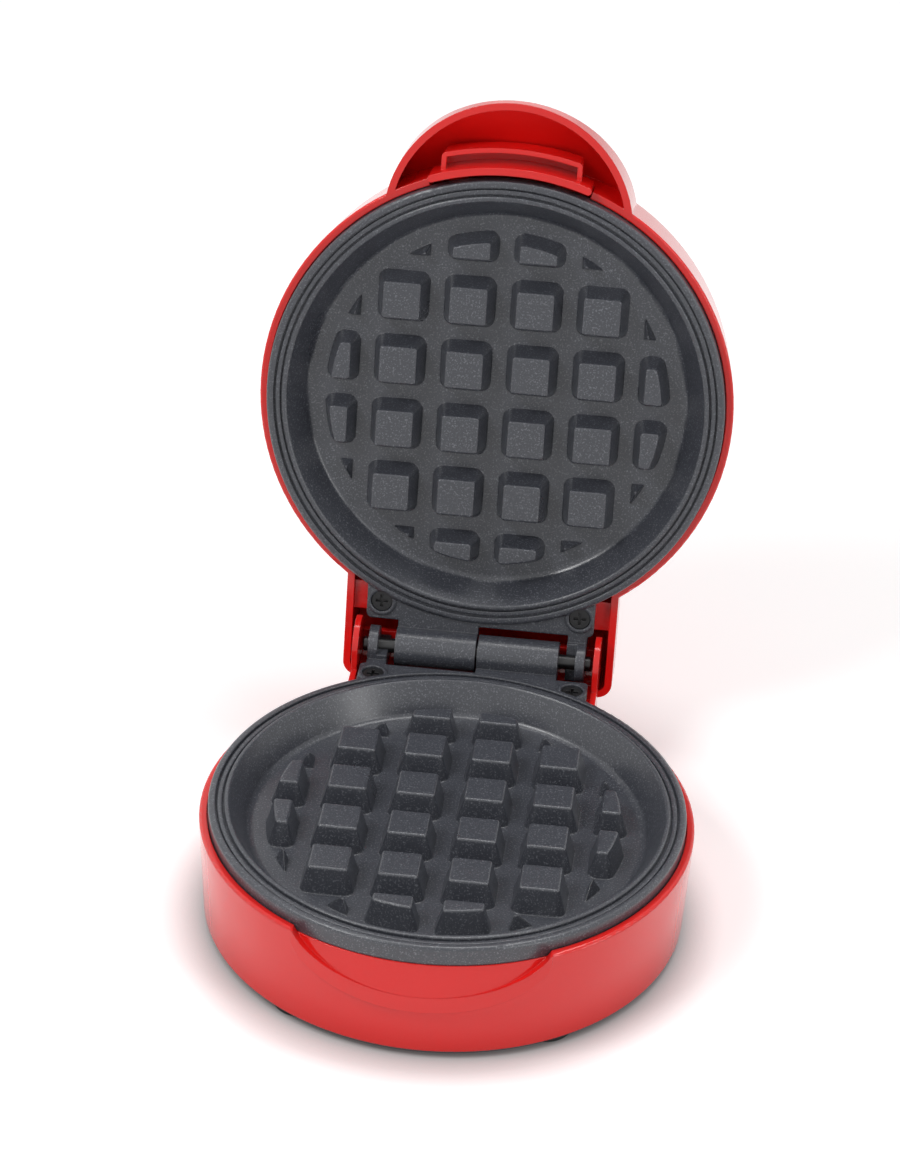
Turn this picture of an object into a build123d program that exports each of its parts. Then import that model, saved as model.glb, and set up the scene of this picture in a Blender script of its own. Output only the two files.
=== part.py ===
"""Mini waffle maker: red drum base and domed lid on a rear hinge, shown standing open.

The frame's origin is on the table at the drum's axis, +X is to the right, the handle
side faces -Y and the hinge is at +Y. Every lid piece is modelled closed and then
swung open about the hinge pin.
"""

import math
import os

from build123d import *

# Driving dimensions, in millimetres and degrees

body_radius = 63.5          # both shells, at their rims
base_draft = 1.3            # the base narrows by this much down to its lower edge
lid_draft = 1.4             # the lid's straight wall narrows by this much
shell_wall = 2.0
rim_round = 0.7
foot_height = 2.0           # the shell's lower edge stands this far above the table
parting_z = 33.7            # the plane where the two castings meet
rim_drop = 3.9              # each shell's rim stops this far short of the parting plane

lid_wall_height = 20.0      # straight side of the lid, above its rim
lid_shoulder_round = 10.0
lid_crown = 3.0             # rise of the domed top
lid_opening = 102.9         # from closed to the open stop

hinge_offset = 6.15         # the pin's axis behind the shells
pin_radius = 2.0
pin_clearance = 0.05
barrel_radius = 5.3
barrel_start = 0.25         # from the middle to the long barrel's inner end
barrel_end = 22.2
lug_start = 24.2            # the short lug on the other side
lug_step = 26.9
lug_end = 29.5

plate_gap = 0.3             # between the two flanges when the lid is shut
flange_clearance = 0.3      # round the flange, inside the shells
flange_depth = 5.5          # from the parting plane to the skirt's lower edge
skirt_wall = 2.3
outer_band_width = 2.3
middle_band_width = 1.8
bead_width = 1.2            # the raised bead round the cavity's mouth
bead_round = 0.4
band_round = 0.25
flange_round = 0.8
groove_width = 0.45
groove_depth = 1.2
band_drop = 0.6             # the middle band lies lower than the bead
cavity_depth = 8.5
cavity_draft = 4.9          # the cavity narrows by this much down to its floor
floor_round = 2.0
plate_wall = 2.6

stud_pitch = 17.73
stud_base = 13.7
stud_top = 9.85
stud_gap = 1.6              # from the stud's top up to the parting plane
stud_base_corner = 2.6
stud_margin = 4.7           # from the circle that cuts the outermost studs to the wall
stud_edge_round = 0.5
whole_studs_per_side = 4
stub_height = 3.8           # the small three-sided studs end in a blunt point
stub_inset = 0.4

web_half_width = 31.0
web_gap = 7.15              # from the web's end to the pin's axis
web_top_drop = 1.5
web_thickness = 4.0
plate_screw_x = 27.0
plate_screw_inset = 5.0     # from the web's end
screw_ring_radius = 3.9
screw_ring_rise = 0.5

element_radius = 36.0       # centre line of the tubular heater
element_tube_radius = 3.0
element_clearance = 0.05
element_boss_half_width = 4.6
element_boss_height = 3.1
element_open_half_angle = 25.0
element_bend_radius = 6.0
element_tail = 3.0
terminal_radius = 1.2
terminal_length = 4.0
seal_radius = 2.7
seal_length = 3.0
shield_post_radius = 4.5
shield_post_height = 8.0
shield_radius = 47.0
shield_wall = 0.8
shield_rise = 4.0

scoop_half_width = 32.2     # the finger scoop's edge is part of an ellipse
scoop_ellipse_height = 12.0
scoop_low_z = 20.0
scoop_lip_rise = 0.5        # the scoop's lip stands proud of the rim
scoop_band_height = 4.7
scoop_back_wall = 2.0
scoop_back_share = 0.9      # the wall behind the scoop spans this share of its width
scoop_lip_flat = 0.4

housing_half_width = 33.5   # the base's hinge housing, over its two ears
ear_wall = 1.6
ear_radius = 7.7
housing_depth = 0.65        # the housing's back stands this far behind the pin's axis
nose_top_angle = 5.0

lid_box_half_width = 37.0
lid_box_depth = 10.85       # the box's back stands this far behind the pin's axis
lid_box_height = 19.0
lid_box_corner = 4.0

hood_offset = 15.3          # the hood's centre lies this far inside the rim
hood_radius = 33.0
hood_wall = 1.9
hood_tip_height = 5.2       # above the lid's rim, at the hood's tip
hood_slope = 29.0
hood_edge_round = 2.2

guard_setback = 0.8         # the guard's plate starts this far inside the rim
guard_plate_wall = 2.0
guard_half_width = 21.5
guard_plate_low = 0.6       # above the parting plane
guard_plate_high = 11.0
guard_box_half_width = 18.5
guard_box_depth = 4.4       # in front of the guard's plate
guard_box_wall = 1.3
guard_box_low = 4.5
guard_box_high = 13.3
guard_clearance = 0.25
guard_hook_width = 5.0
guard_hook_x = 14.0
guard_hook_height = 3.0

cover_wall = 2.2
cover_clearance = 0.3
cover_post_radius = 3.6
cover_post_inset = 4.9
foot_radius = 6.5
foot_stem_radius = 2.5
front_foot = (31.0, -45.0)
rear_foot_x = 24.0
rear_foot_inset = 11.65     # from the hinge pin's axis

screw_head_radius = 2.8
screw_shank_radius = 1.4
screw_clearance = 0.05
screw_head_height = 1.9
screw_recess_clearance = 0.15
cross_width = 0.8
cross_length = 3.4
cross_depth = 1.1

thermostat_place = (-15.5, -8.0)
thermostat_radius = 8.0
thermostat_shoulder = 4.5
thermostat_height = 7.0
thermostat_screw_x = 11.5   # from the thermostat's middle
blade_x = 3.75
blade_height = 3.6
clip_wall = 0.8
clip_boss_radius = 3.0
fuse_place = (11.0, -10.0)
fuse_length = 11.0
fuse_screw_x = 19.0
lead_radius = 1.1
block_size = (22.0, 9.0, 6.5)
block_y = 52.0
outlet_z = 12.0
outlet_bore_radius = 3.3
outlet_length = 9.0
lens_y = -36.0
lens_radius = 3.5
lens_flange_radius = 4.8
lens_flange_height = 1.5
lamp_radius = 2.4
lamp_length = 7.2
holder_screw_x = 7.5
holder_post_radius = 2.6
holder_wall = 1.2
holder_gap = 1.7            # from the lens's flange to the holder's screw posts

# Places worked out from them

base_foot_radius = body_radius - base_draft
lid_shoulder_radius = body_radius - lid_draft
hinge_y = body_radius + hinge_offset
flange_radius = body_radius - shell_wall - flange_clearance
middle_band_outer = flange_radius - outer_band_width
bead_outer = middle_band_outer - middle_band_width
bead_inner = bead_outer - bead_width
floor_radius = bead_inner - cavity_draft
stud_limit_radius = floor_radius - stud_margin
web_end_y = hinge_y - web_gap
plate_screw_y = web_end_y - plate_screw_inset
scoop_lip_radius = body_radius + scoop_lip_rise
housing_back_y = hinge_y + housing_depth
lid_box_back_y = hinge_y + lid_box_depth
hood_centre_y = hood_offset - body_radius
guard_inner_radius = body_radius - guard_setback
guard_box_radius = guard_inner_radius + guard_plate_wall + guard_box_depth
cover_post_centre = base_foot_radius - cover_post_inset
foot_places = (
    front_foot,
    (-front_foot[0], front_foot[1]),
    (rear_foot_x, hinge_y - rear_foot_inset),
    (-rear_foot_x, hinge_y - rear_foot_inset),
)
base_rim_z = parting_z - rim_drop
lid_rim_z = parting_z + rim_drop
bead_top_z = parting_z - plate_gap / 2
floor_z = parting_z - cavity_depth
floor_under_z = floor_z - plate_wall
stud_top_z = parting_z - stud_gap
skirt_low_z = parting_z - flange_depth
web_top_z = parting_z - web_top_drop
web_low_z = web_top_z - web_thickness
element_z = floor_under_z - element_boss_height
shield_post_z = element_z - shield_post_height
clip_boss_z = floor_under_z - thermostat_shoulder
clip_screw_places = (
    (thermostat_place[0] - thermostat_screw_x, thermostat_place[1]),
    (thermostat_place[0] + thermostat_screw_x, thermostat_place[1]),
    (fuse_screw_x, fuse_place[1]),
)
ledge_height = 1.8
ledge_inner = flange_radius - skirt_wall - 0.2
hinge_axis = Axis((0, hinge_y, parting_z), (1, 0, 0))
turn_over_axis = Axis((0, 0, parting_z), (0, 1, 0))
barrel_bore = pin_radius + pin_clearance
rim_inner_radius = body_radius - shell_wall
cover_top_z = foot_height + cover_wall
hidden_y = 40.0             # where housings start, inside the drums
crown_z = lid_rim_z + lid_wall_height + lid_shoulder_round + lid_crown
crown_reach = lid_shoulder_radius - lid_shoulder_round
crown_radius = (crown_reach**2 + lid_crown**2) / (2 * lid_crown)
lens_edge = lens_flange_radius - lens_y
lens_seat_z = crown_z - shell_wall - crown_radius + math.sqrt(crown_radius**2 - lens_edge**2)
holder_z = lens_seat_z - lens_flange_height - holder_gap
holder_screw_places = ((-holder_screw_x, lens_y), (holder_screw_x, lens_y))

os.makedirs("parts", exist_ok=True)


def write(builder, node):
    """Label a finished piece and write it in the base's frame."""
    builder.part.label = node
    export_step(builder.part, f"parts/{node}.step")


def write_open(builder, node):
    """Swing a finished lid piece to the open stop, then label and write it."""
    builder.part = builder.part.rotate(hinge_axis, -lid_opening)
    write(builder, node)


def corner_at(sketch, place):
    """The sketch's corner nearest to a place on its plane."""
    return sketch.vertices().sort_by_distance((place[0], place[1], 0))[0]


def turned_over(builder):
    """The upper casting's pieces are the lower ones turned over left to right."""
    return builder.part.rotate(turn_over_axis, 180)


# Lower plate: a non-stick casting with a stud grid, stepped flange, rear web and barrels

with BuildPart() as lower_plate:
    slope_shift = plate_wall * 1.15
    with BuildSketch(Plane.XZ) as plate_section:
        with BuildLine():
            Polyline(
                (0, floor_z),
                (floor_radius, floor_z),
                (bead_inner, bead_top_z),
                (bead_outer, bead_top_z),
                (bead_outer, bead_top_z - groove_depth),
                (bead_outer + groove_width, bead_top_z - groove_depth),
                (bead_outer + groove_width, bead_top_z - band_drop),
                (middle_band_outer, bead_top_z - band_drop),
                (middle_band_outer, bead_top_z - groove_depth),
                (middle_band_outer + groove_width, bead_top_z - groove_depth),
                (middle_band_outer + groove_width, bead_top_z - band_drop / 3),
                (flange_radius, bead_top_z - band_drop / 3),
                (flange_radius, skirt_low_z),
                (flange_radius - skirt_wall, skirt_low_z),
                (flange_radius - skirt_wall, bead_top_z - plate_wall - groove_depth / 2),
                (bead_inner + slope_shift * 0.75, bead_top_z - plate_wall - groove_depth / 2),
                (floor_radius + slope_shift * 0.5, floor_under_z),
                (0, floor_under_z),
                close=True,
            )
        make_face()
        for at, radius in (
            ((floor_radius, floor_z), floor_round),
            ((bead_inner, bead_top_z), bead_round),
            ((bead_outer, bead_top_z), bead_round),
            ((bead_outer + groove_width, bead_top_z - band_drop), band_round),
            ((middle_band_outer, bead_top_z - band_drop), band_round),
            ((flange_radius, bead_top_z - band_drop / 3), flange_round),
        ):
            fillet(corner_at(plate_section, at), radius)
    revolve(axis=Axis.Z)

    # The heater's seat and the shield's post, under the floor
    with BuildSketch(Plane.XZ) as seat_section:
        with Locations((element_radius, element_z)):
            Rectangle(
                2 * element_boss_half_width,
                element_boss_height + plate_wall / 2,
                align=(Align.CENTER, Align.MIN),
            )
    revolve(axis=Axis.Z)
    with BuildSketch(Plane.XY.offset(shield_post_z)):
        Circle(shield_post_radius)
    extrude(until=Until.NEXT)

    # Bosses for the thermostat's and the fuse's straps, and a gap for the heater's tails
    with BuildSketch(Plane.XY.offset(clip_boss_z)):
        with Locations(*clip_screw_places):
            Circle(clip_boss_radius)
    extrude(amount=thermostat_shoulder + plate_wall / 2)
    with BuildSketch(Plane.XY.offset(element_z)):
        with Locations((0, element_radius)):
            Rectangle(element_radius, 3 * element_boss_half_width)
    extrude(amount=element_boss_height, mode=Mode.SUBTRACT)

    # Rear web with the barrel's and the lug's necks
    with BuildSketch(Plane.XY.offset(web_low_z)) as web_outline:
        with BuildLine():
            Polyline(
                (-web_half_width, hidden_y),
                (web_half_width, hidden_y),
                (web_half_width, web_end_y),
                (-web_half_width, web_end_y),
                close=True,
            )
        make_face()
        fillet(web_outline.vertices().group_by(Axis.Y)[-1], 1.5)
        Circle(flange_radius - skirt_wall / 2, mode=Mode.SUBTRACT)
    extrude(amount=web_thickness)
    with BuildSketch(Plane.XY.offset(parting_z - barrel_radius)) as neck_outline:
        neck_length = hinge_y - web_end_y + 2
        for low_x, high_x in ((barrel_start, barrel_end), (-lug_end, -lug_start)):
            with Locations(((low_x + high_x) / 2, hinge_y - neck_length / 2)):
                Rectangle(high_x - low_x, neck_length)
    extrude(amount=web_top_z - (parting_z - barrel_radius))

    # Long barrel on one side, stepped lug on the other
    with BuildSketch(Plane.YZ.offset(barrel_start)):
        with Locations((hinge_y, parting_z)):
            Circle(barrel_radius)
    extrude(amount=barrel_end - barrel_start)
    with BuildSketch(Plane.YZ.offset(-lug_end)):
        with Locations((hinge_y, parting_z)):
            Circle(barrel_radius)
    extrude(amount=lug_step - lug_end, dir=(-1, 0, 0))
    with BuildSketch(Plane.YZ.offset(-lug_step)) as lug_step_outline:
        with Locations((hinge_y, parting_z)):
            Circle(barrel_radius)
        with Locations((hinge_y, parting_z + barrel_radius)):
            Rectangle(3 * barrel_radius, 2 * barrel_radius, mode=Mode.SUBTRACT)
    extrude(amount=lug_step - lug_start)
    with BuildSketch(Plane.YZ.offset(-lug_end)):
        with Locations((hinge_y, parting_z)):
            Circle(barrel_bore)
    extrude(amount=lug_end + barrel_end, mode=Mode.SUBTRACT)

    # Raised rings round the two plate screws
    with BuildSketch(Plane.XY.offset(web_low_z)):
        with Locations((-plate_screw_x, plate_screw_y), (plate_screw_x, plate_screw_y)):
            Circle(screw_ring_radius)
    extrude(amount=web_thickness + screw_ring_rise)
    with Locations(
        (-plate_screw_x, plate_screw_y, web_top_z + screw_ring_rise),
        (plate_screw_x, plate_screw_y, web_top_z + screw_ring_rise),
    ):
        CounterBoreHole(
            radius=screw_shank_radius + screw_recess_clearance,
            counter_bore_radius=screw_head_radius + screw_recess_clearance,
            counter_bore_depth=screw_head_height + screw_ring_rise,
            depth=2 * web_thickness,
        )

    # Studs: whole ones inside, and on each side two cut ones and two small three-sided stubs
    stud_height = stud_top_z - floor_z
    stud_draft = math.degrees(math.atan((stud_base - stud_top) / 2 / stud_height))
    with BuildSketch(Plane.XY.offset(floor_z)):
        with GridLocations(stud_pitch, stud_pitch, whole_studs_per_side, whole_studs_per_side):
            RectangleRounded(stud_base, stud_base, stud_base_corner)
    extrude(amount=stud_height, taper=stud_draft)
    outer_x = (whole_studs_per_side + 1) / 2 * stud_pitch
    for turn in range(4):
        side = Plane.XY.offset(floor_z).rotated((0, 0, 90 * turn))
        with BuildSketch(side) as cut_studs:
            with Locations((outer_x, stud_pitch / 2), (outer_x, -stud_pitch / 2)):
                Rectangle(stud_base, stud_base)
            Circle(stud_limit_radius, mode=Mode.INTERSECT)
            fillet(cut_studs.vertices(), stud_base_corner)
        extrude(amount=stud_height, taper=stud_draft)
        with BuildSketch(side):
            with Locations((outer_x, 1.5 * stud_pitch), (outer_x, -1.5 * stud_pitch)):
                Rectangle(stud_base - 2 * stub_inset, stud_base - 2 * stub_inset)
            Circle(stud_limit_radius - stub_inset, mode=Mode.INTERSECT)
        extrude(amount=stub_height, taper=stud_draft)

    # Groove that seats the heater, and the shield screw's hole
    with BuildSketch(Plane.XZ):
        with Locations((element_radius, element_z)):
            Circle(element_tube_radius + element_clearance)
    revolve(axis=Axis.Z, mode=Mode.SUBTRACT)
    with BuildSketch(Plane.XY.offset(shield_post_z)):
        Circle(screw_shank_radius + screw_clearance)
    extrude(amount=shield_post_height, mode=Mode.SUBTRACT)
    with BuildSketch(Plane.XY.offset(clip_boss_z)):
        with Locations(*clip_screw_places):
            Circle(screw_shank_radius + screw_clearance)
    extrude(amount=thermostat_shoulder, mode=Mode.SUBTRACT)

    stud_tops = lower_plate.edges().filter_by(
        lambda edge: abs(edge.center().Z - stud_top_z) < 0.01
        and math.hypot(edge.center().X, edge.center().Y) < stud_limit_radius
    )
    fillet(stud_tops, stud_edge_round)

with BuildPart() as upper_plate:
    add(turned_over(lower_plate))

write(lower_plate, "lower_plate")
write_open(upper_plate, "upper_plate")


# Base shell: a drafted drum with the hinge housing behind and the finger scoop in front


def scoop_outline(drop):
    """Front view of the scoop's opening, moved down by a drop."""
    with Locations((0, scoop_low_z + scoop_ellipse_height - drop)):
        Ellipse(scoop_half_width, scoop_ellipse_height)


with BuildPart() as scoop_band:
    with BuildSketch(Plane.XZ):
        with BuildLine():
            Polyline(
                (body_radius - shell_wall / 2, foot_height),
                (scoop_lip_radius, foot_height),
                (scoop_lip_radius, base_rim_z),
                (body_radius - shell_wall / 2, base_rim_z),
                close=True,
            )
        make_face()
    revolve(axis=Axis.Z)
    with BuildSketch(Plane.XZ):
        scoop_outline(scoop_band_height)
        with Locations((0, scoop_low_z + scoop_ellipse_height - scoop_band_height)):
            Rectangle(
                2 * scoop_half_width, 2 * scoop_ellipse_height, align=(Align.CENTER, Align.MIN)
            )
    extrude(amount=2 * body_radius, mode=Mode.INTERSECT)

with BuildPart() as scoop_back:
    with BuildSketch(Plane.XZ):
        with BuildLine():
            Polyline(
                (rim_inner_radius - scoop_back_wall, scoop_low_z + scoop_back_wall),
                (rim_inner_radius + scoop_back_wall / 2, scoop_low_z - scoop_back_wall),
                (rim_inner_radius + scoop_back_wall / 2, skirt_low_z),
                (rim_inner_radius - scoop_back_wall, skirt_low_z),
                close=True,
            )
        make_face()
    back_angle = math.degrees(math.asin(scoop_back_share * scoop_half_width / body_radius))
    revolve(axis=Axis.Z, revolution_arc=2 * back_angle)
scoop_back.part = scoop_back.part.rotate(Axis.Z, -90 - back_angle)

with BuildPart() as scoop_cut:
    with BuildSketch(Plane.XZ.offset(body_radius / 2)):
        scoop_outline(0)
    extrude(amount=body_radius)
    with BuildSketch(Plane.XZ):
        with BuildLine():
            Polyline(
                (0, foot_height),
                (scoop_lip_radius, foot_height),
                (scoop_lip_radius, scoop_low_z - scoop_lip_flat),
                (rim_inner_radius, skirt_low_z),
                (0, skirt_low_z),
                close=True,
            )
        make_face()
    revolve(axis=Axis.Z, mode=Mode.SUBTRACT)

with BuildPart() as base_shell:
    with BuildSketch(Plane.XZ) as drum_section:
        with BuildLine():
            Polyline(
                (0, foot_height),
                (base_foot_radius, foot_height),
                (body_radius, base_rim_z),
                (0, base_rim_z),
                close=True,
            )
        make_face()
        fillet(corner_at(drum_section, (base_foot_radius, foot_height)), rim_round)
        fillet(corner_at(drum_section, (body_radius, base_rim_z)), rim_round)
    revolve(axis=Axis.Z)

    # Hinge housing with an ear on each side, drawn from the side
    with BuildSketch(Plane.YZ.offset(-housing_half_width)):
        with BuildLine():
            Polyline(
                (hidden_y, foot_height),
                (housing_back_y, foot_height),
                (housing_back_y, parting_z - ear_radius + 1),
                (hinge_y, parting_z - ear_radius + 1),
                (hinge_y, base_rim_z),
                (hidden_y, base_rim_z),
                close=True,
            )
        make_face()
        with Locations((hinge_y, parting_z)):
            Circle(ear_radius)
        with Locations((hinge_y - ear_radius / 2, parting_z - ear_radius / 2)):
            Rectangle(ear_radius, ear_radius)
    extrude(amount=2 * housing_half_width)

    # Inside of the drum
    with BuildSketch(Plane.XZ):
        with BuildLine():
            Polyline(
                (0, foot_height),
                (base_foot_radius - shell_wall, foot_height),
                (rim_inner_radius, base_rim_z),
                (0, base_rim_z),
                close=True,
            )
        make_face()
    revolve(axis=Axis.Z, mode=Mode.SUBTRACT)

    # Inside of the housing: open above, with a curved nose behind the barrels
    with BuildSketch(Plane.YZ.offset(ear_wall - housing_half_width)):
        nose_rim_z = parting_z + ear_radius * math.sin(math.radians(nose_top_angle))
        with Locations((hinge_y, parting_z)):
            Circle(ear_radius - ear_wall)
        with BuildLine():
            Polyline(
                (hidden_y, foot_height),
                (housing_back_y - shell_wall, foot_height),
                (housing_back_y - shell_wall, parting_z - ear_radius + ear_wall),
                (hinge_y, parting_z),
                (hinge_y, nose_rim_z),
                (hinge_y + 2 * ear_radius, nose_rim_z),
                (hinge_y + 2 * ear_radius, parting_z + 2 * ear_radius),
                (hidden_y, parting_z + 2 * ear_radius),
                close=True,
            )
        make_face()
    extrude(amount=2 * (housing_half_width - ear_wall), mode=Mode.SUBTRACT)

    # Ledge that carries the casting's skirt, and the blocks for its rear screws
    with BuildSketch(Plane.XY.offset(skirt_low_z - ledge_height)):
        Circle(rim_inner_radius + 0.1)
        Circle(ledge_inner, mode=Mode.SUBTRACT)
    extrude(amount=ledge_height)
    block_width = housing_half_width - ear_wall / 2 - (plate_screw_x - screw_head_radius)
    with BuildSketch(Plane.XY.offset(skirt_low_z - 14)):
        with Locations(
            (plate_screw_x - screw_head_radius + block_width / 2, plate_screw_y),
            (-plate_screw_x + screw_head_radius - block_width / 2, plate_screw_y),
        ):
            Rectangle(block_width, 8)
    extrude(amount=14)

    # Posts for the bottom cover's screws
    with BuildSketch(Plane.XY.offset(cover_top_z + 1.2)):
        with PolarLocations(cover_post_centre, 4, start_angle=45):
            Circle(cover_post_radius)
    extrude(amount=floor_under_z - cover_top_z)

    add(scoop_band.part)
    add(scoop_back.part)
    add(scoop_cut.part, mode=Mode.SUBTRACT)

    # Screw pilots and the cord outlet
    with Locations(
        (-plate_screw_x, plate_screw_y, skirt_low_z), (plate_screw_x, plate_screw_y, skirt_low_z)
    ):
        Hole(radius=screw_shank_radius + screw_clearance, depth=12)
    with Locations(Plane.XY.offset(cover_top_z + 1.2).rotated((180, 0, 0))):
        with PolarLocations(cover_post_centre, 4, start_angle=45):
            Hole(radius=screw_shank_radius + screw_clearance, depth=12)
    with BuildSketch(Plane.XZ.offset(-housing_back_y - 1)):
        with Locations((0, outlet_z)):
            Circle(outlet_bore_radius + 1.9)
    extrude(amount=shell_wall + 2, mode=Mode.SUBTRACT)

write(base_shell, "base_shell")


# Lid shell: domed drum with the hinge box behind and the handle hood in front


def lid_profile(inset):
    """Half section of the lid's dome, drawn inside the outer skin by an inset."""
    shoulder_z = lid_rim_z + lid_wall_height
    bend = lid_shoulder_round - inset
    wall = Line((body_radius - inset, lid_rim_z), (lid_shoulder_radius - inset, shoulder_z))
    turn = CenterArc((crown_reach, shoulder_z), bend, 0, 90)
    middle = crown_reach / 2
    middle_z = crown_z - inset - crown_radius + math.sqrt(crown_radius**2 - middle**2)
    crown = ThreePointArc(turn @ 1, (middle, middle_z), (0, crown_z - inset))
    Polyline(crown @ 1, (0, lid_rim_z), wall @ 0)


hood_tip_y = hood_centre_y - hood_radius
hood_rise = math.tan(math.radians(hood_slope))


def hood_height(y, inset):
    """Height of the hood's sloping top at a place along its length."""
    drop = inset / math.cos(math.radians(hood_slope))
    return lid_rim_z + hood_tip_height + (y - hood_tip_y) * hood_rise - drop


def hood_side(inset):
    """Side view of the hood under its slope, with some room to the drum's inside."""
    Polyline(
        (hood_tip_y - 1, lid_rim_z),
        (hood_tip_y - 1, hood_height(hood_tip_y - 1, inset)),
        (-hidden_y, hood_height(-hidden_y, inset)),
        (-hidden_y, lid_rim_z),
        close=True,
    )


with BuildPart() as hood_outside:
    with BuildSketch(Plane.YZ.offset(-hood_radius)):
        with BuildLine():
            hood_side(0)
        make_face()
    extrude(amount=2 * hood_radius)
    with BuildSketch(Plane.XY.offset(lid_rim_z)):
        with Locations((0, hood_centre_y)):
            Circle(hood_radius)
    extrude(amount=2 * lid_wall_height, mode=Mode.INTERSECT)
    fillet(hood_outside.faces().sort_by(Axis.Z)[-1].outer_wire().edges(), hood_edge_round)

with BuildPart() as hood_inside:
    with BuildSketch(Plane.YZ.offset(-hood_radius)):
        with BuildLine():
            hood_side(hood_wall)
        make_face()
    extrude(amount=2 * hood_radius)
    with BuildSketch(Plane.XY.offset(lid_rim_z)):
        with Locations((0, hood_centre_y)):
            Circle(hood_radius - hood_wall)
        Circle(body_radius - 0.1, mode=Mode.SUBTRACT)
    extrude(amount=2 * lid_wall_height, mode=Mode.INTERSECT)

with BuildPart() as lid_box:
    box_depth = lid_box_back_y - hidden_y
    with BuildSketch(Plane.XY.offset(lid_rim_z)) as lid_box_outline:
        with Locations((0, hidden_y + box_depth / 2)):
            Rectangle(2 * lid_box_half_width, box_depth)
        fillet(lid_box_outline.vertices().group_by(Axis.Y)[-1], lid_box_corner)
    extrude(amount=lid_box_height)
    top_edges = lid_box.faces().sort_by(Axis.Z)[-1].edges().sort_by(Axis.Y)[1:]
    fillet(top_edges, lid_box_corner - 0.5)

with BuildPart() as lid_box_inside:
    inside_depth = lid_box_back_y - shell_wall - hidden_y
    with BuildSketch(Plane.XY.offset(lid_rim_z)) as inside_outline:
        with Locations((0, hidden_y + inside_depth / 2)):
            Rectangle(2 * (lid_box_half_width - shell_wall), inside_depth)
        fillet(inside_outline.vertices().group_by(Axis.Y)[-1], lid_box_corner - shell_wall)
    extrude(amount=lid_box_height - shell_wall)

with BuildPart() as guard_notch:
    notch_angle = math.degrees(math.asin((guard_half_width + guard_clearance) / body_radius))
    with BuildSketch(Plane.XZ):
        with Locations((body_radius, parting_z + guard_plate_high + guard_clearance)):
            Rectangle(3 * shell_wall, 2 * guard_plate_high, align=(Align.CENTER, Align.MAX))
    revolve(axis=Axis.Z, revolution_arc=2 * notch_angle)
guard_notch.part = guard_notch.part.rotate(Axis.Z, -90 - notch_angle)

with BuildPart() as lid_shell:
    with BuildSketch(Plane.XZ) as dome_section:
        with BuildLine():
            lid_profile(0)
        make_face()
        fillet(corner_at(dome_section, (body_radius, lid_rim_z)), rim_round)
    revolve(axis=Axis.Z)
    add(lid_box.part)
    add(hood_outside.part)
    with BuildSketch(Plane.XZ):
        with BuildLine():
            lid_profile(shell_wall)
        make_face()
    revolve(axis=Axis.Z, mode=Mode.SUBTRACT)
    add(lid_box_inside.part, mode=Mode.SUBTRACT)
    add(hood_inside.part, mode=Mode.SUBTRACT)

    # Ledge that carries the casting's skirt, and the blocks for its rear screws
    skirt_high_z = parting_z + flange_depth
    with BuildSketch(Plane.XY.offset(skirt_high_z)):
        Circle(rim_inner_radius + 0.1)
        Circle(ledge_inner, mode=Mode.SUBTRACT)
    extrude(amount=ledge_height)
    lid_block_width = lid_box_half_width - shell_wall / 2 - (plate_screw_x - screw_head_radius)
    with BuildSketch(Plane.XY.offset(skirt_high_z)):
        with Locations(
            (plate_screw_x - screw_head_radius + lid_block_width / 2, plate_screw_y),
            (-plate_screw_x + screw_head_radius - lid_block_width / 2, plate_screw_y),
        ):
            Rectangle(lid_block_width, 8)
    extrude(amount=lid_rim_z + lid_box_height - shell_wall / 2 - skirt_high_z)
    with Locations(Plane.XY.offset(skirt_high_z).rotated((180, 0, 0))):
        with Locations((-plate_screw_x, -plate_screw_y), (plate_screw_x, -plate_screw_y)):
            Hole(radius=screw_shank_radius + screw_clearance, depth=10)

    # Gap in the drum's wall where the handle guard sits
    add(guard_notch.part, mode=Mode.SUBTRACT)

    # Seat for the indicator lens, with two posts for the lamp holder's screws
    with BuildSketch(Plane.XY.offset(holder_z)):
        with Locations(*holder_screw_places):
            Circle(holder_post_radius)
    extrude(amount=lens_seat_z + shell_wall - holder_z)
    with BuildSketch(Plane.XY.offset(holder_z)):
        with Locations(*holder_screw_places):
            Circle(screw_shank_radius + screw_clearance)
    extrude(amount=3, mode=Mode.SUBTRACT)
    with BuildSketch(Plane.XY.offset(lens_seat_z)):
        with Locations((0, lens_y)):
            Circle(lens_radius + 0.1)
    extrude(amount=3 * shell_wall, mode=Mode.SUBTRACT)

# Handle guard: a curved plate in front of the flange with a slotted box behind it

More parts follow.
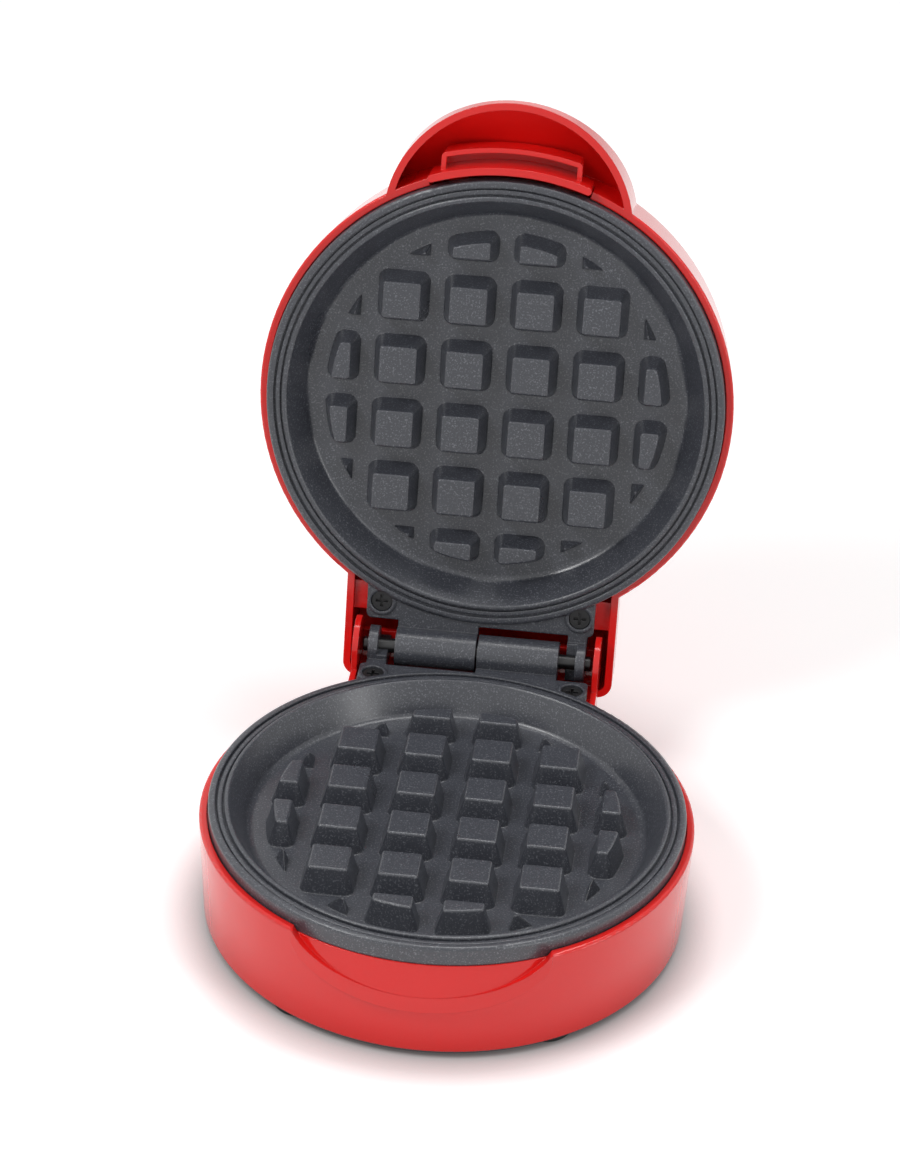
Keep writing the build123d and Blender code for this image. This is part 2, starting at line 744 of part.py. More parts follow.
with BuildPart() as handle_guard:
    plate_outer = guard_inner_radius + guard_plate_wall
    with BuildSketch(Plane.XY.offset(parting_z + guard_plate_low)) as guard_plate:
        Circle(plate_outer)
        Circle(guard_inner_radius, mode=Mode.SUBTRACT)
        with Locations((0, -body_radius)):
            Rectangle(2 * guard_half_width, body_radius / 2, mode=Mode.INTERSECT)
        fillet(guard_plate.vertices(), guard_plate_wall * 0.45)
    extrude(amount=guard_plate_high - guard_plate_low)
    with BuildSketch(Plane.XY.offset(parting_z + guard_box_low)) as guard_box:
        Circle(guard_box_radius)
        Circle(plate_outer - 0.3, mode=Mode.SUBTRACT)
        with Locations((0, -body_radius)):
            Rectangle(2 * guard_box_half_width, body_radius / 2, mode=Mode.INTERSECT)
        fillet(guard_box.vertices().group_by(SortBy.DISTANCE)[-1], guard_box_wall)
    extrude(amount=guard_box_high - guard_box_low)
    with BuildSketch(Plane.XY.offset(parting_z + guard_box_low)) as guard_slot:
        Circle(guard_box_radius - guard_box_wall)
        Circle(plate_outer, mode=Mode.SUBTRACT)
        with Locations((0, -body_radius)):
            Rectangle(
                2 * (guard_box_half_width - guard_box_wall), body_radius / 2, mode=Mode.INTERSECT
            )
    extrude(amount=guard_box_high - guard_box_low - guard_box_wall, mode=Mode.SUBTRACT)

    # Two hooks that catch behind the drum's wall
    hook_top_z = parting_z + guard_plate_high + guard_hook_height
    lid_taper = (body_radius - lid_shoulder_radius) / lid_wall_height
    hook_outer = rim_inner_radius - lid_taper * (hook_top_z - lid_rim_z) - guard_clearance
    hook_inner = hook_outer - guard_box_wall
    for hook_x in (-guard_hook_x, guard_hook_x):
        for low, high, outer in (
            (guard_plate_high - 2, guard_plate_high, guard_inner_radius + 1),
            (guard_plate_high - 2, guard_plate_high + guard_hook_height, hook_outer),
        ):
            with BuildSketch(Plane.XY.offset(parting_z + low)):
                Circle(outer)
                Circle(hook_inner, mode=Mode.SUBTRACT)
                with Locations((hook_x, -body_radius)):
                    Rectangle(guard_hook_width, body_radius / 2, mode=Mode.INTERSECT)
            extrude(amount=high - low)

# Bottom cover: closes the drum and the hinge housing, with screw wells and vent slots

cover_radius = base_foot_radius - shell_wall - cover_clearance
well_radius = screw_head_radius + 1.4
with BuildPart() as bottom_cover:
    tail_depth = housing_back_y - shell_wall - cover_clearance - hidden_y
    with BuildSketch(Plane.XY.offset(foot_height)):
        Circle(cover_radius)
        with Locations((0, hidden_y + tail_depth / 2)):
            Rectangle(2 * (housing_half_width - ear_wall - cover_clearance), tail_depth)
    extrude(amount=cover_wall)
    with BuildSketch(Plane.XY.offset(foot_height)):
        with PolarLocations(cover_post_centre, 4, start_angle=45):
            Circle(well_radius)
        Circle(cover_radius, mode=Mode.INTERSECT)
    extrude(amount=cover_wall + 1.2)
    with BuildSketch(Plane.XY.offset(foot_height)):
        with PolarLocations(cover_post_centre, 4, start_angle=45):
            Circle(screw_head_radius + screw_recess_clearance)
    extrude(amount=screw_head_height, mode=Mode.SUBTRACT)
    with BuildSketch(Plane.XY.offset(foot_height)):
        with PolarLocations(cover_post_centre, 4, start_angle=45):
            Circle(screw_shank_radius + screw_recess_clearance)
        with Locations(*foot_places):
            Circle(foot_stem_radius + screw_clearance)
        for slot_y in (-12, -4, 4, 12):
            with Locations((0, slot_y)):
                SlotOverall(26, 3)
    extrude(amount=2 * cover_wall, mode=Mode.SUBTRACT)

with BuildPart() as rubber_feet:
    with BuildSketch() as pads:
        with Locations(*foot_places):
            Circle(foot_radius)
    extrude(amount=foot_height)
    chamfer(rubber_feet.edges().group_by(Axis.Z)[0], 0.4)
    with BuildSketch(Plane.XY.offset(foot_height)):
        with Locations(*foot_places):
            Circle(foot_stem_radius)
    extrude(amount=cover_wall)
    with BuildSketch(Plane.XY.offset(cover_top_z)):
        with Locations(*foot_places):
            Circle(foot_stem_radius + 0.8)
    extrude(amount=2.0, taper=20)


# Screws, with a cross recess in each head


def screw(places, head_z, length, up=True):
    """Pan-head screws at places; heads face up, or down with up=False."""
    way = 1 if up else -1
    with BuildSketch(Plane.XY.offset(head_z)) as heads:
        with Locations(*places):
            Circle(screw_head_radius)
    extrude(heads.sketch, amount=-way * screw_head_height)
    with BuildSketch(Plane.XY.offset(head_z)) as shanks:
        with Locations(*places):
            Circle(screw_shank_radius)
    extrude(shanks.sketch, amount=-way * (screw_head_height + length))
    with BuildSketch(Plane.XY.offset(head_z)) as crosses:
        with Locations(*places):
            Rectangle(cross_length, cross_width)
            Rectangle(cross_width, cross_length)
    extrude(crosses.sketch, amount=-way * cross_depth, mode=Mode.SUBTRACT)


plate_screw_places = ((-plate_screw_x, plate_screw_y), (plate_screw_x, plate_screw_y))
with BuildPart() as lower_plate_screws:
    screw(plate_screw_places, web_top_z, 12)
with BuildPart() as upper_plate_screws:
    add(turned_over(lower_plate_screws))

cover_screw_reach = cover_post_centre * math.sqrt(0.5)
cover_screw_places = [
    (across * cover_screw_reach, along * cover_screw_reach)
    for across in (-1, 1)
    for along in (-1, 1)
]
with BuildPart() as bottom_cover_screws:
    screw(cover_screw_places, foot_height, 11, up=False)

with BuildPart() as lower_shield_screw:
    screw([(0, 0)], shield_post_z - shield_wall - screw_head_height, 6, up=False)
with BuildPart() as upper_shield_screw:
    add(turned_over(lower_shield_screw))

with BuildPart() as hinge_pin:
    pin_half = housing_half_width - ear_wall - 0.6
    with BuildSketch(Plane.YZ.offset(-pin_half)):
        with Locations((hinge_y, parting_z)):
            Circle(pin_radius)
    extrude(amount=2 * pin_half)
    chamfer(hinge_pin.edges().filter_by(GeomType.CIRCLE), 0.4)

# Tubular heater seated in the casting's groove, with ceramic end seals

with BuildPart() as lower_heating_element:
    open_angle = math.radians(90 - element_open_half_angle)
    with BuildLine(Plane.XY.offset(element_z)) as element_path:
        ring = CenterArc(
            (0, 0), element_radius, 90 + element_open_half_angle, 360 - 2 * element_open_half_angle
        )
        right_bend = JernArc(
            ring @ 1, ring % 1, element_bend_radius, element_open_half_angle - 90
        )
        right_tail = Line(right_bend @ 1, right_bend @ 1 + (0, element_tail))
        left_bend = JernArc(
            ring @ 0, (ring % 0) * -1, element_bend_radius, 90 - element_open_half_angle
        )
        left_tail = Line(left_bend @ 1, left_bend @ 1 + (0, element_tail))
    with BuildSketch(Plane(origin=right_tail @ 1, z_dir=(0, 1, 0))):
        Circle(element_tube_radius)
    sweep(path=element_path.wires()[0])

tail_x = (right_tail @ 1).X
tail_y = (right_tail @ 1).Y
seal_end_y = tail_y + seal_length
pin_end_y = seal_end_y + terminal_length

with BuildPart() as lower_element_seals:
    with BuildSketch(Plane.XZ.offset(-tail_y)):
        with Locations((-tail_x, element_z), (tail_x, element_z)):
            Circle(seal_radius)
            Circle(terminal_radius, mode=Mode.SUBTRACT)
    extrude(amount=-seal_length)

with BuildPart() as lower_element_pins:
    with BuildSketch(Plane.XZ.offset(-tail_y)):
        with Locations((-tail_x, element_z), (tail_x, element_z)):
            Circle(terminal_radius)
    extrude(amount=tail_y - pin_end_y)

# Heat shield: a shallow pressed tray on the casting's post

with BuildPart() as lower_heat_shield:
    with BuildSketch(Plane.XZ):
        with BuildLine():
            low = shield_post_z - shield_wall
            Polyline(
                (screw_shank_radius + screw_recess_clearance, low),
                (shield_radius - shield_rise, low),
                (shield_radius, low + shield_rise),
                (shield_radius, low + shield_rise + shield_wall),
                (shield_radius - shield_rise, shield_post_z),
                (screw_shank_radius + screw_recess_clearance, shield_post_z),
                close=True,
            )
        make_face()
    revolve(axis=Axis.Z)
    with BuildSketch(Plane.XY.offset(shield_post_z)):
        with Locations((0, shield_radius)):
            Rectangle(element_radius + 8, 16)
    extrude(amount=2 * shield_rise, mode=Mode.SUBTRACT)

with BuildPart() as upper_heating_element:
    add(turned_over(lower_heating_element))
with BuildPart() as upper_element_seals:
    add(turned_over(lower_element_seals))
with BuildPart() as upper_element_pins:
    add(turned_over(lower_element_pins))
with BuildPart() as upper_heat_shield:
    add(turned_over(lower_heat_shield))

# Thermostat and thermal fuse, each strapped to the lower casting's bosses

with BuildPart() as thermostat:
    with BuildSketch(Plane.XY.offset(floor_under_z)):
        with Locations(thermostat_place):
            Circle(thermostat_radius)
    extrude(amount=-thermostat_shoulder)
    with BuildSketch(Plane.XY.offset(clip_boss_z)):
        with Locations(thermostat_place):
            Circle(thermostat_radius - 1)
    extrude(amount=thermostat_shoulder - thermostat_height)
    with BuildSketch(Plane.XY.offset(floor_under_z - thermostat_height)):
        for side in (-blade_x, blade_x):
            with Locations((thermostat_place[0] + side, thermostat_place[1])):
                Rectangle(4.0, 0.8)
    extrude(amount=-blade_height)

with BuildPart() as thermostat_strap:
    with BuildSketch(Plane.XY.offset(clip_boss_z)):
        with Locations(thermostat_place):
            SlotCenterToCenter(2 * thermostat_screw_x, 2 * clip_boss_radius)
            Circle(thermostat_radius + 1.2)
            Circle(thermostat_radius - 1 + screw_clearance, mode=Mode.SUBTRACT)
        with Locations(*clip_screw_places[:2]):
            Circle(screw_shank_radius + screw_recess_clearance, mode=Mode.SUBTRACT)
    extrude(amount=-clip_wall)

with BuildPart() as thermal_fuse:
    fuse_radius = thermostat_shoulder / 2
    with BuildSketch(Plane.XZ.offset(-fuse_place[1] - fuse_length / 2)):
        with Locations((fuse_place[0], floor_under_z - fuse_radius)):
            Circle(fuse_radius)
    extrude(amount=fuse_length)
    chamfer(thermal_fuse.edges().filter_by(GeomType.CIRCLE), 0.5)

with BuildPart() as fuse_strap:
    with BuildSketch(Plane.XY.offset(clip_boss_z)):
        strap_low_x = fuse_place[0] - fuse_radius
        strap_high_x = fuse_screw_x + clip_boss_radius
        with Locations(((strap_low_x + strap_high_x) / 2, fuse_place[1])):
            Rectangle(strap_high_x - strap_low_x, 1.6 * clip_boss_radius)
        with Locations(clip_screw_places[2]):
            Circle(screw_shank_radius + screw_recess_clearance, mode=Mode.SUBTRACT)
    extrude(amount=-clip_wall)

with BuildPart() as strap_screws:
    screw(clip_screw_places, clip_boss_z - clip_wall - screw_head_height, 4, up=False)

# Terminal block on the cover, and the bush of the cord outlet in the rear wall

with BuildPart() as terminal_block:
    with BuildSketch(Plane.XY.offset(cover_top_z)):
        with Locations((0, block_y)):
            Rectangle(block_size[0], block_size[1])
    extrude(amount=block_size[2])
    with BuildSketch(Plane.XY.offset(cover_top_z + block_size[2])):
        with Locations((-7, block_y), (0, block_y), (7, block_y)):
            Circle(2.0)
    extrude(amount=-2.5, mode=Mode.SUBTRACT)

with BuildPart() as outlet_bush:
    bush_end_y = housing_back_y + 2.0
    with BuildSketch(Plane.XZ.offset(-bush_end_y)):
        with Locations((0, outlet_z)):
            Circle(outlet_bore_radius + 3.6)
    extrude(amount=2.0)
    with BuildSketch(Plane.XZ.offset(-bush_end_y)):
        with Locations((0, outlet_z)):
            Circle(outlet_bore_radius + 1.8)
    extrude(amount=outlet_length)
    with BuildSketch(Plane.XZ.offset(shell_wall - housing_back_y)):
        with Locations((0, outlet_z)):
            Circle(outlet_bore_radius + 2.8)
    extrude(amount=1.6)
    with BuildSketch(Plane.XZ.offset(-bush_end_y)):
        with Locations((0, outlet_z)):
            Circle(outlet_bore_radius)
    extrude(amount=outlet_length, mode=Mode.SUBTRACT)

# Internal leads, each a straight-run route with rounded corners


def lead(points, bend):
    """One insulated lead along a route."""
    with BuildLine() as route:
        FilletPolyline(*points, radius=bend)
    start = route.line @ 0
    with BuildSketch(Plane(origin=start, z_dir=route.line % 0)) as section:
        Circle(lead_radius)
    sweep(section.sketch, path=route.line)


block_lead_z = cover_top_z + block_size[2] / 2
blade_z = floor_under_z - thermostat_height - blade_height / 2
blade_face_y = thermostat_place[1] + 0.4
lead_back_y = 57.0
side_x = tail_x + 2 * blade_x
with BuildPart() as lower_leads:
    lead(
        [
            (-tail_x, pin_end_y, element_z),
            (-tail_x, lead_back_y + 2, element_z),
            (-tail_x, lead_back_y + 2, blade_z),
            (-tail_x, blade_face_y, blade_z),
        ],
        2.5,
    )
    lead(
        [
            (-side_x, blade_face_y, blade_z),
            (-side_x, block_y, blade_z),
            (-side_x, block_y, block_lead_z),
            (-block_size[0] / 2, block_y, block_lead_z),
        ],
        2.5,
    )
    lead(
        [
            (tail_x, pin_end_y, element_z),
            (tail_x, lead_back_y, element_z),
            (side_x - 1, lead_back_y, blade_z),
            (side_x - 1, block_y, block_lead_z),
            (block_size[0] / 2, block_y, block_lead_z),
        ],
        2.0,
    )

# Indicator: lens in the lid, lamp behind it, holder screwed to the lid's posts

with BuildPart() as indicator_lens:
    with BuildSketch(Plane.XY.offset(lens_seat_z - lens_flange_height)):
        with Locations((0, lens_y)):
            Circle(lens_flange_radius)
    extrude(amount=lens_flange_height)
    with BuildSketch(Plane.XY.offset(lens_seat_z - lens_flange_height)):
        with Locations((0, lens_y)):
            Circle(lens_radius)
    extrude(amount=lens_flange_height + shell_wall + 1.0)
    fillet(indicator_lens.edges().group_by(Axis.Z)[-1], 0.9)

lamp_top_z = lens_seat_z - lens_flange_height
with BuildPart() as indicator_lamp:
    with BuildSketch(Plane.XY.offset(lamp_top_z)):
        with Locations((0, lens_y)):
            Circle(lamp_radius)
    extrude(amount=-lamp_length)

with BuildPart() as lamp_holder:
    with BuildSketch(Plane.XY.offset(holder_z - holder_wall)):
        with Locations((0, lens_y)):
            SlotCenterToCenter(2 * holder_screw_x, 2 * holder_post_radius)
            Circle(lamp_radius + holder_wall)
    extrude(amount=holder_wall)
    with BuildSketch(Plane.XY.offset(holder_z - holder_wall)):
        with Locations((0, lens_y)):
            Circle(lamp_radius + holder_wall)
    extrude(amount=lamp_top_z - holder_z + holder_wall)
    with BuildSketch(Plane.XY.offset(holder_z - holder_wall)):
        with Locations((0, lens_y)):
            Circle(lamp_radius + screw_clearance)
        with Locations(*holder_screw_places):
            Circle(screw_shank_radius + screw_recess_clearance)
    extrude(amount=2 * lamp_length, mode=Mode.SUBTRACT)

with BuildPart() as lamp_holder_screws:
    screw(holder_screw_places, holder_z - holder_wall - screw_head_height, 4, up=False)

upper_element_z = 2 * parting_z - element_z
over_shield_z = 2 * parting_z - shield_post_z + 4.0
lamp_lead_z = lamp_top_z - lamp_length + lead_radius
with BuildPart() as upper_leads:
    for side in (-1, 1):
        lead(
            [
                (side * tail_x, pin_end_y, upper_element_z),
                (side * tail_x, pin_end_y + 5.5, upper_element_z),
                (side * tail_x, pin_end_y + 5.5, over_shield_z),
                (side * tail_x, lens_y, lamp_lead_z),
                (side * lamp_radius, lens_y, lamp_lead_z),
            ],
            2.5,
        )

for builder, node in (
    (bottom_cover, "bottom_cover"),
    (bottom_cover_screws, "bottom_cover_screws"),
    (rubber_feet, "rubber_feet"),
    (hinge_pin, "hinge_pin"),
    (lower_plate_screws, "lower_plate_screws"),
    (lower_heating_element, "lower_heating_element"),
    (lower_element_seals, "lower_element_seals"),
    (lower_element_pins, "lower_element_pins"),
    (lower_heat_shield, "lower_heat_shield"),
    (lower_shield_screw, "lower_shield_screw"),
    (thermostat, "thermostat"),
    (thermostat_strap, "thermostat_strap"),
    (thermal_fuse, "thermal_fuse"),
    (fuse_strap, "fuse_strap"),
    (strap_screws, "strap_screws"),
    (terminal_block, "terminal_block"),
    (outlet_bush, "outlet_bush"),
    (lower_leads, "lower_leads"),
):
    write(builder, node)

for builder, node in (
    (lid_shell, "lid_shell"),
    (handle_guard, "handle_guard"),
    (upper_plate_screws, "upper_plate_screws"),
    (upper_heating_element, "upper_heating_element"),
    (upper_element_seals, "upper_element_seals"),
    (upper_element_pins, "upper_element_pins"),
    (upper_heat_shield, "upper_heat_shield"),
    (upper_shield_screw, "upper_shield_screw"),
    (indicator_lens, "indicator_lens"),
    (indicator_lamp, "indicator_lamp"),
    (lamp_holder, "lamp_holder"),
    (lamp_holder_screws, "lamp_holder_screws"),
    (upper_leads, "upper_leads"),
):
    write_open(builder, node)
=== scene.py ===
"""Mini waffle maker standing open: red shells, dark non-stick castings, black screws."""

import math

import bpy
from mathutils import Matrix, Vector

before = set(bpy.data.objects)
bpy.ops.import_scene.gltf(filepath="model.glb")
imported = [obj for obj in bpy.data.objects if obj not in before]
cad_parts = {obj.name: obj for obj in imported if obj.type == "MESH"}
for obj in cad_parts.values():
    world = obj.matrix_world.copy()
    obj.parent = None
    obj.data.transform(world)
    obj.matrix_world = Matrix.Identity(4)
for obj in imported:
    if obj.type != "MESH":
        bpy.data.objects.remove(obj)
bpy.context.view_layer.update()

# Camera, at the photograph's angle

IMAGE_HEIGHT = 1170
CAMERA_AZIMUTH = math.radians(5.25)
CAMERA_ELEVATION = math.radians(31.95)
CAMERA_ROLL = math.radians(2.5)
CAMERA_DISTANCE = 0.916
CAMERA_FOCAL_PIXELS = 3588
CAMERA_TARGET = Vector((-0.0044, 0.0279, 0.081))
CAMERA_NEAREST = 0.01
SENSOR = 36.0


def add_camera():
    """A long lens looking down at the open lid from the handle side."""
    back = Vector(
        (
            math.sin(CAMERA_AZIMUTH) * math.cos(CAMERA_ELEVATION),
            -math.cos(CAMERA_AZIMUTH) * math.cos(CAMERA_ELEVATION),
            math.sin(CAMERA_ELEVATION),
        )
    )
    camera = bpy.data.cameras.new("camera")
    camera.sensor_fit = "VERTICAL"
    camera.sensor_height = SENSOR
    camera.lens = CAMERA_FOCAL_PIXELS * SENSOR / IMAGE_HEIGHT
    camera.clip_start = CAMERA_NEAREST
    holder = bpy.data.objects.new("camera", camera)
    bpy.context.scene.collection.objects.link(holder)
    holder.location = CAMERA_TARGET + back * CAMERA_DISTANCE
    holder.rotation_euler = (-back).to_track_quat("-Z", "Y").to_euler()
    holder.rotation_euler.rotate_axis("Z", CAMERA_ROLL)
    bpy.context.scene.camera = holder


# Light: three soft lamps, each with its place, its two sizes and its power

SUBJECT = Vector((0, 0.03, 0.06))
LAMPS = {
    "key_lamp": (Vector((-0.7, -0.5, 1.1)), (0.5, 0.32), 7.0),
    "fill_lamp": (Vector((0.9, -0.6, 0.6)), (0.22, 0.8), 2.4),
    "top_lamp": (Vector((0.1, 0.35, 1.2)), (0.8, 0.35), 5.0),
}
AMBIENT = 0.36
BACKGROUND_TONE = (1.0, 1.0, 1.0, 1.0)
BACKGROUND_SHOWN = 1.0


def add_area(name, place, size, power):
    """A soft rectangular lamp aimed at the subject."""
    lamp = bpy.data.lights.new(name, "AREA")
    lamp.shape = "RECTANGLE"
    lamp.size, lamp.size_y = size
    lamp.energy = power
    holder = bpy.data.objects.new(name, lamp)
    bpy.context.scene.collection.objects.link(holder)
    holder.location = place
    holder.rotation_euler = (SUBJECT - place).to_track_quat("-Z", "Y").to_euler()


def open_ray_group():
    """1 for rays that show the bare background: seen, reflected or through glass."""
    group = bpy.data.node_groups.new("open_ray", "ShaderNodeTree")
    group.interface.new_socket("Share", in_out="OUTPUT", socket_type="NodeSocketFloat")
    nodes, links = group.nodes, group.links
    end = nodes.new("NodeGroupOutput")
    path = nodes.new("ShaderNodeLightPath")
    result = path.outputs["Is Camera Ray"]
    for ray in ("Is Glossy Ray", "Is Transmission Ray"):
        larger = nodes.new("ShaderNodeMath")
        larger.operation = "MAXIMUM"
        links.new(result, larger.inputs[0])
        links.new(path.outputs[ray], larger.inputs[1])
        result = larger.outputs["Value"]
    links.new(result, end.inputs["Share"])
    return group


def add_world(open_ray):
    """A white background that lights the object less than it shows."""
    world = bpy.data.worlds.new("studio")
    bpy.context.scene.world = world
    world.use_nodes = True
    nodes, links = world.node_tree.nodes, world.node_tree.links
    background = nodes["Background"]
    background.inputs["Color"].default_value = BACKGROUND_TONE
    open_sky = nodes.new("ShaderNodeGroup")
    open_sky.node_tree = open_ray
    strength = nodes.new("ShaderNodeMix")
    strength.data_type = "FLOAT"
    strength.inputs["A"].default_value = AMBIENT
    strength.inputs["B"].default_value = BACKGROUND_SHOWN
    links.new(open_sky.outputs["Share"], strength.inputs["Factor"])
    links.new(strength.outputs["Result"], background.inputs["Strength"])


# Floor

FLOOR_SIZE = 6
FLOOR_TONE = (0.93, 0.93, 0.93, 1)
FLOOR_ROUGHNESS = 0.6
FLOOR_SPECULAR = 0.2
FLOOR_GLOW = 0.3
# How far the painted contact shadow on the floor reaches
PAINTED_SHADE_REACH = 0.012


def add_floor(open_ray):
    """White floor with a faint glow that keeps the object's soft shadow.

    Its colour darkens near anything that stands over it, within the reach set above: a
    painted contact shadow, in the floor's diffuse colour and in its glow.
    """
    bpy.ops.object.select_all(action="DESELECT")
    bpy.ops.mesh.primitive_plane_add(size=FLOOR_SIZE, location=(0, 0, 0))
    floor = bpy.context.object
    floor.name = "floor"
    paint = bpy.data.materials.new("white_floor")
    paint.use_nodes = True
    nodes, links = paint.node_tree.nodes, paint.node_tree.links
    # Painted contact shadow: ambient occlusion darkens the floor's colour and its glow
    # close to the object
    painted_contact_shade = nodes.new("ShaderNodeAmbientOcclusion")
    painted_contact_shade.inputs["Color"].default_value = FLOOR_TONE
    painted_contact_shade.inputs["Distance"].default_value = PAINTED_SHADE_REACH
    shader = nodes["Principled BSDF"]
    shader.inputs["Roughness"].default_value = FLOOR_ROUGHNESS
    shader.inputs["Specular IOR Level"].default_value = FLOOR_SPECULAR
    seen = nodes.new("ShaderNodeGroup")
    seen.node_tree = open_ray
    level = nodes.new("ShaderNodeMath")
    level.operation = "MULTIPLY"
    level.inputs[1].default_value = FLOOR_GLOW
    glow = nodes.new("ShaderNodeEmission")
    both = nodes.new("ShaderNodeAddShader")
    links.new(painted_contact_shade.outputs["Color"], shader.inputs["Base Color"])
    links.new(painted_contact_shade.outputs["Color"], glow.inputs["Color"])
    links.new(seen.outputs["Share"], level.inputs[0])
    links.new(level.outputs["Value"], glow.inputs["Strength"])
    links.new(shader.outputs["BSDF"], both.inputs[0])
    links.new(glow.outputs["Emission"], both.inputs[1])
    links.new(both.outputs["Shader"], nodes["Material Output"].inputs["Surface"])
    floor.data.materials.append(paint)


add_camera()
for lamp_name, (lamp_place, lamp_size, lamp_power) in LAMPS.items():
    add_area(lamp_name, lamp_place, lamp_size, lamp_power)
open_ray = open_ray_group()
add_world(open_ray)
add_floor(open_ray)
bpy.context.scene.view_settings.view_transform = "Standard"

# Shared effects, as node groups

GRAIN_DETAIL = 3.0
CLOUD_SCALE = 35.0
BUMP_DISTANCE = 0.0001
EDGE_SAMPLES = 6
SPECK_DETAIL = 2.0
SPECK_EDGE_LOW = 0.55
SPECK_EDGE_HIGH = 0.72


def add_inputs(group, sockets):
    """Give a node group its input sockets, by name and kind."""
    for name, kind in sockets:
        group.interface.new_socket(name, in_out="INPUT", socket_type=kind)


def grain_group():
    """Fine bump, rounded edges and a slight roughness change, for every surface."""
    group = bpy.data.node_groups.new("fine_grain", "ShaderNodeTree")
    add_inputs(
        group,
        (
            ("Scale", "NodeSocketFloat"),
            ("Height", "NodeSocketFloat"),
            ("Roughness Low", "NodeSocketFloat"),
            ("Roughness High", "NodeSocketFloat"),
            ("Edge Round", "NodeSocketFloat"),
        ),
    )
    group.interface.new_socket("Roughness", in_out="OUTPUT", socket_type="NodeSocketFloat")
    group.interface.new_socket("Normal", in_out="OUTPUT", socket_type="NodeSocketVector")
    nodes, links = group.nodes, group.links
    start = nodes.new("NodeGroupInput")
    end = nodes.new("NodeGroupOutput")
    place = nodes.new("ShaderNodeTexCoord")
    fine = nodes.new("ShaderNodeTexNoise")
    fine.inputs["Detail"].default_value = GRAIN_DETAIL
    broad = nodes.new("ShaderNodeTexNoise")
    broad.inputs["Scale"].default_value = CLOUD_SCALE
    spread = nodes.new("ShaderNodeMapRange")
    bump = nodes.new("ShaderNodeBump")
    bump.inputs["Distance"].default_value = BUMP_DISTANCE
    edge = nodes.new("ShaderNodeBevel")
    edge.samples = EDGE_SAMPLES
    links.new(place.outputs["Object"], fine.inputs["Vector"])
    links.new(place.outputs["Object"], broad.inputs["Vector"])
    links.new(start.outputs["Scale"], fine.inputs["Scale"])
    links.new(broad.outputs["Fac"], spread.inputs["Value"])
    links.new(start.outputs["Roughness Low"], spread.inputs["To Min"])
    links.new(start.outputs["Roughness High"], spread.inputs["To Max"])
    links.new(start.outputs["Height"], bump.inputs["Strength"])
    links.new(fine.outputs["Fac"], bump.inputs["Height"])
    links.new(start.outputs["Edge Round"], edge.inputs["Radius"])
    links.new(edge.outputs["Normal"], bump.inputs["Normal"])
    links.new(spread.outputs["Result"], end.inputs["Roughness"])
    links.new(bump.outputs["Normal"], end.inputs["Normal"])
    return group


def tone_group():
    """Mixes two tones over the surface by a speckle."""
    group = bpy.data.node_groups.new("two_tone", "ShaderNodeTree")
    add_inputs(
        group,
        (
            ("Tone", "NodeSocketColor"),
            ("Speck Tone", "NodeSocketColor"),
            ("Speck Scale", "NodeSocketFloat"),
            ("Speck Share", "NodeSocketFloat"),
        ),
    )
    group.interface.new_socket("Color", in_out="OUTPUT", socket_type="NodeSocketColor")
    nodes, links = group.nodes, group.links
    start = nodes.new("NodeGroupInput")
    end = nodes.new("NodeGroupOutput")
    place = nodes.new("ShaderNodeTexCoord")
    speck = nodes.new("ShaderNodeTexNoise")
    speck.inputs["Detail"].default_value = SPECK_DETAIL
    sharpen = nodes.new("ShaderNodeMapRange")
    sharpen.inputs["From Min"].default_value = SPECK_EDGE_LOW
    sharpen.inputs["From Max"].default_value = SPECK_EDGE_HIGH
    share = nodes.new("ShaderNodeMath")
    share.operation = "MULTIPLY"
    mix = nodes.new("ShaderNodeMix")
    mix.data_type = "RGBA"
    links.new(place.outputs["Object"], speck.inputs["Vector"])
    links.new(start.outputs["Speck Scale"], speck.inputs["Scale"])
    links.new(speck.outputs["Fac"], sharpen.inputs["Value"])
    links.new(sharpen.outputs["Result"], share.inputs[0])
    links.new(start.outputs["Speck Share"], share.inputs[1])
    links.new(share.outputs["Value"], mix.inputs["Factor"])
    links.new(start.outputs["Tone"], mix.inputs["A"])
    links.new(start.outputs["Speck Tone"], mix.inputs["B"])
    links.new(mix.outputs["Result"], end.inputs["Color"])
    return group


grain = grain_group()
two_tone = tone_group()


def surface(
    name, tone, speck_tone, roughness,
    speck_scale=1500.0, speck_share=0.3, grain_scale=900.0, grain_height=0.1,
    edge_round=0.0002, **own_sockets,
):
    """A surface of two close tones with fine grain.

    Roughness is a range, and own_sockets are the shader's own sockets,
    written with underscores for spaces.
    """
    material = bpy.data.materials.new(name)
    material.use_nodes = True
    nodes, links = material.node_tree.nodes, material.node_tree.links
    shader = nodes["Principled BSDF"]
    tones = nodes.new("ShaderNodeGroup")
    tones.node_tree = two_tone
    tones.inputs["Tone"].default_value = (*tone, 1)
    tones.inputs["Speck Tone"].default_value = (*speck_tone, 1)
    tones.inputs["Speck Scale"].default_value = speck_scale
    tones.inputs["Speck Share"].default_value = speck_share
    skin = nodes.new("ShaderNodeGroup")
    skin.node_tree = grain
    skin.inputs["Scale"].default_value = grain_scale
    skin.inputs["Height"].default_value = grain_height
    skin.inputs["Edge Round"].default_value = edge_round
    skin.inputs["Roughness Low"].default_value = roughness[0]
    skin.inputs["Roughness High"].default_value = roughness[1]
    links.new(tones.outputs["Color"], shader.inputs["Base Color"])
    links.new(skin.outputs["Roughness"], shader.inputs["Roughness"])
    links.new(skin.outputs["Normal"], shader.inputs["Normal"])
    for socket, value in own_sockets.items():
        shader.inputs[socket.replace("_", " ")].default_value = value
    return material


# Materials

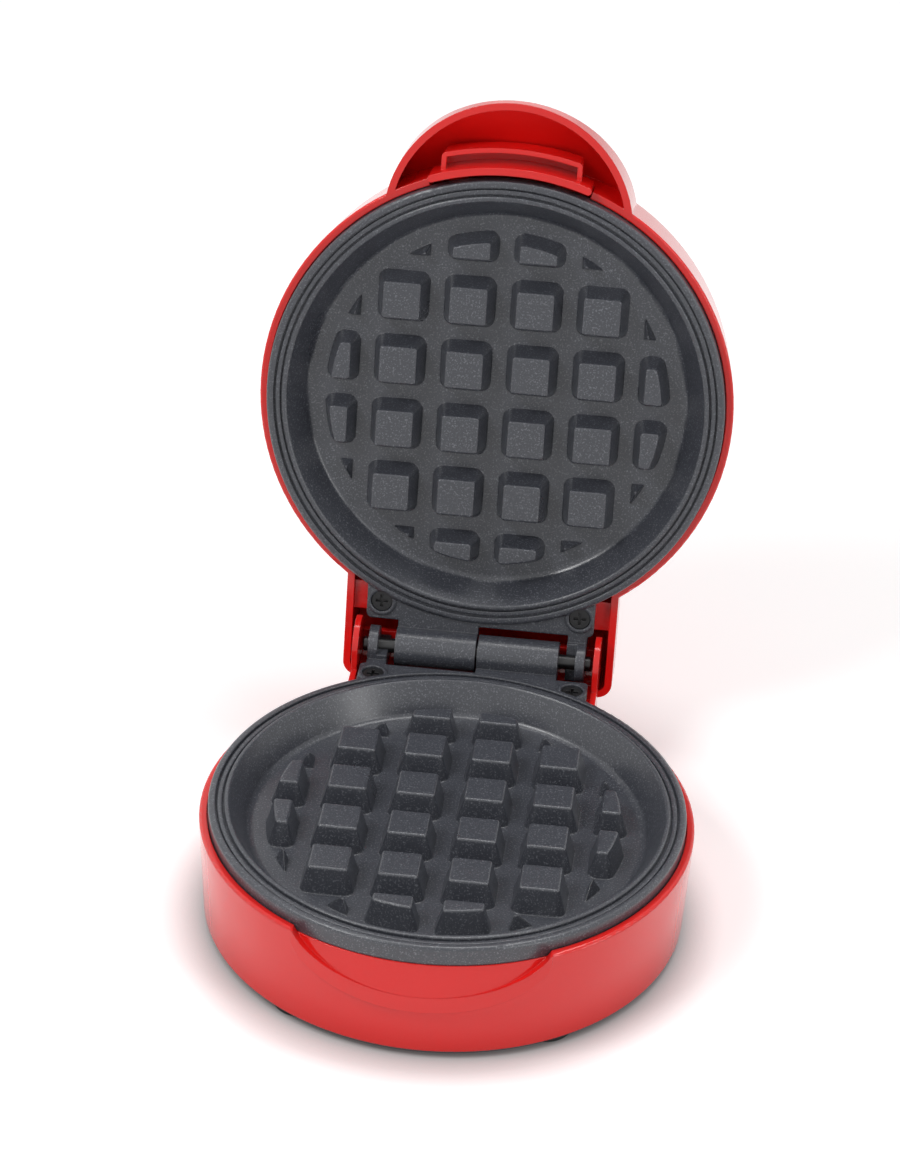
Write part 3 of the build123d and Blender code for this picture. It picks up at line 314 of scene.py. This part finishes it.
red_plastic = surface(
    "red_plastic", (0.78, 0.012, 0.010), (0.80, 0.025, 0.02), (0.10, 0.16),
    grain_height=0.02, speck_share=0.15, edge_round=0.0004, Specular_IOR_Level=0.4,
    Coat_Weight=0.2, Coat_Roughness=0.03,
)
nonstick = surface(
    "nonstick_coating", (0.046, 0.049, 0.060), (0.24, 0.25, 0.28), (0.24, 0.34),
    speck_scale=2300.0, speck_share=0.6, grain_scale=2000.0, grain_height=0.35,
    edge_round=0.0006, Specular_IOR_Level=0.7,
)
black_metal = surface(
    "black_oxide", (0.010, 0.010, 0.011), (0.03, 0.03, 0.03), (0.25, 0.4),
    Specular_IOR_Level=0.6,
)
bright_steel = surface(
    "bright_steel", (0.60, 0.60, 0.60), (0.52, 0.52, 0.52), (0.22, 0.36), Metallic=1.0,
)
heater_steel = surface(
    "oxidised_sheath", (0.16, 0.14, 0.12), (0.24, 0.20, 0.17), (0.4, 0.6), Metallic=0.8,
)
black_plastic = surface(
    "black_plastic", (0.018, 0.018, 0.02), (0.03, 0.03, 0.032), (0.4, 0.55),
)
black_rubber = surface(
    "black_rubber", (0.012, 0.012, 0.012), (0.02, 0.02, 0.02), (0.6, 0.8),
)
ceramic = surface(
    "white_ceramic", (0.72, 0.70, 0.64), (0.66, 0.63, 0.56), (0.5, 0.65),
)
phenolic = surface(
    "dark_phenolic", (0.05, 0.03, 0.02), (0.08, 0.05, 0.03), (0.4, 0.5),
)
glass_sleeve = surface(
    "glass_sleeve", (0.70, 0.67, 0.58), (0.55, 0.52, 0.45), (0.7, 0.9),
    speck_scale=900.0, grain_height=0.6,
)
lens_red = surface(
    "red_lens", (0.55, 0.010, 0.008), (0.6, 0.02, 0.015), (0.08, 0.12),
    grain_height=0.02, Transmission_Weight=0.45, IOR=1.49,
)
lamp_glass = surface(
    "lamp_glass", (0.8, 0.6, 0.45), (0.8, 0.6, 0.45), (0.05, 0.1),
    grain_height=0.0, Transmission_Weight=0.7,
)

finishes = {
    red_plastic: ("base_shell", "lid_shell", "handle_guard"),
    nonstick: ("lower_plate", "upper_plate"),
    black_metal: (
        "hinge_pin", "lower_plate_screws", "upper_plate_screws", "bottom_cover_screws",
    ),
    bright_steel: (
        "lower_shield_screw", "upper_shield_screw", "strap_screws",
        "lamp_holder_screws", "lower_element_pins", "upper_element_pins",
        "lower_heat_shield", "upper_heat_shield", "thermostat_strap", "fuse_strap",
        "thermal_fuse",
    ),
    heater_steel: ("lower_heating_element", "upper_heating_element"),
    black_plastic: ("bottom_cover", "lamp_holder"),
    black_rubber: ("rubber_feet", "outlet_bush"),
    ceramic: ("lower_element_seals", "upper_element_seals", "terminal_block"),
    phenolic: ("thermostat",),
    glass_sleeve: ("lower_leads", "upper_leads"),
    lens_red: ("indicator_lens",),
    lamp_glass: ("indicator_lamp",),
}
for material, piece_names in finishes.items():
    for piece_name in piece_names:
        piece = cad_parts[piece_name]
        piece.data.materials.clear()
        piece.data.materials.append(material)
